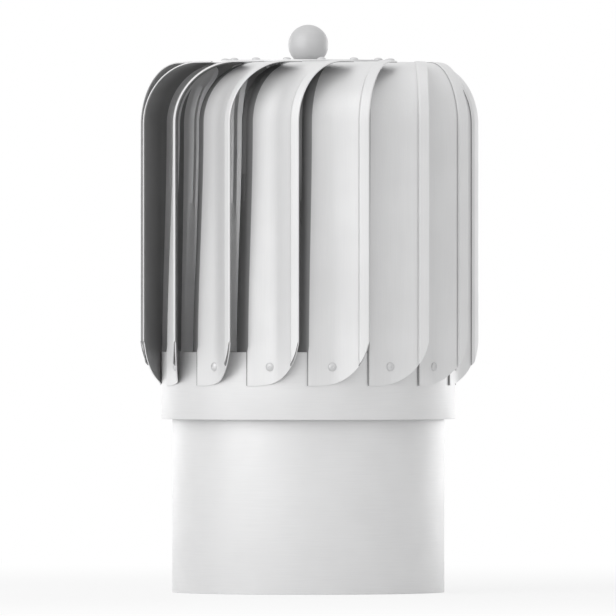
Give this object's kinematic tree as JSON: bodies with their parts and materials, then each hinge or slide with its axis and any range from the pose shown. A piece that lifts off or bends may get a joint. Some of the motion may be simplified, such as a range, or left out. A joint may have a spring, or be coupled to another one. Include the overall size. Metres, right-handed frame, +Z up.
{
  "type": "roof turbine ventilator",
  "caption": "Roof turbine ventilator: a bladed aluminium rotor with a ball finial spinning on a spindle over a round duct spigot.",
  "frame": {"origin": "on the turning axis, at the open lower end of the duct spigot", "axes": "+Z up along the turning axis towards the ball finial, -Y towards the front, where the root of blade_01 stands"},
  "size_m": [0.187, 0.1871, 0.3128],
  "materials": {
    "mill_aluminium": "satin rolled sheet",
    "turned_aluminium": "satin",
    "rivet_aluminium": "bright",
    "galvanised_steel": "zinc coated",
    "plated_steel": "zinc plated",
    "bearing_steel": "ground",
    "nylon": "natural white"
  },
  "bodies": {
    "base": {"duct_spigot": "mill_aluminium", "upper_bracket": "galvanised_steel", "lower_bracket": "galvanised_steel", "bracket_rivets": "rivet_aluminium", "spindle": "plated_steel", "spindle_nuts": "plated_steel", "bearing_inner_ring": "bearing_steel"},
    "rotor": {"rotor_band": "mill_aluminium", "blade_01": "mill_aluminium", "blade_02": "mill_aluminium", "blade_03": "mill_aluminium", "blade_04": "mill_aluminium", "blade_05": "mill_aluminium", "blade_06": "mill_aluminium", "blade_07": "mill_aluminium", "blade_08": "mill_aluminium", "blade_09": "mill_aluminium", "blade_10": "mill_aluminium", "blade_11": "mill_aluminium", "blade_12": "mill_aluminium", "blade_13": "mill_aluminium", "blade_14": "mill_aluminium", "blade_15": "mill_aluminium", "top_plate": "mill_aluminium", "tab_rivets": "rivet_aluminium", "plate_rivets": "rivet_aluminium", "bearing_hub": "turned_aluminium", "bearing_outer_ring": "bearing_steel", "rotor_spider": "galvanised_steel", "guide_bush": "nylon", "finial_stud": "plated_steel", "ball_finial": "turned_aluminium"}
  },
  "joints": [
    {"name": "rotor_spin", "type": "hinge", "parent": "base", "child": "rotor", "pos_m": [0, 0, 0.2], "axis": [0, 0, 1], "continuous": true}
  ]
}
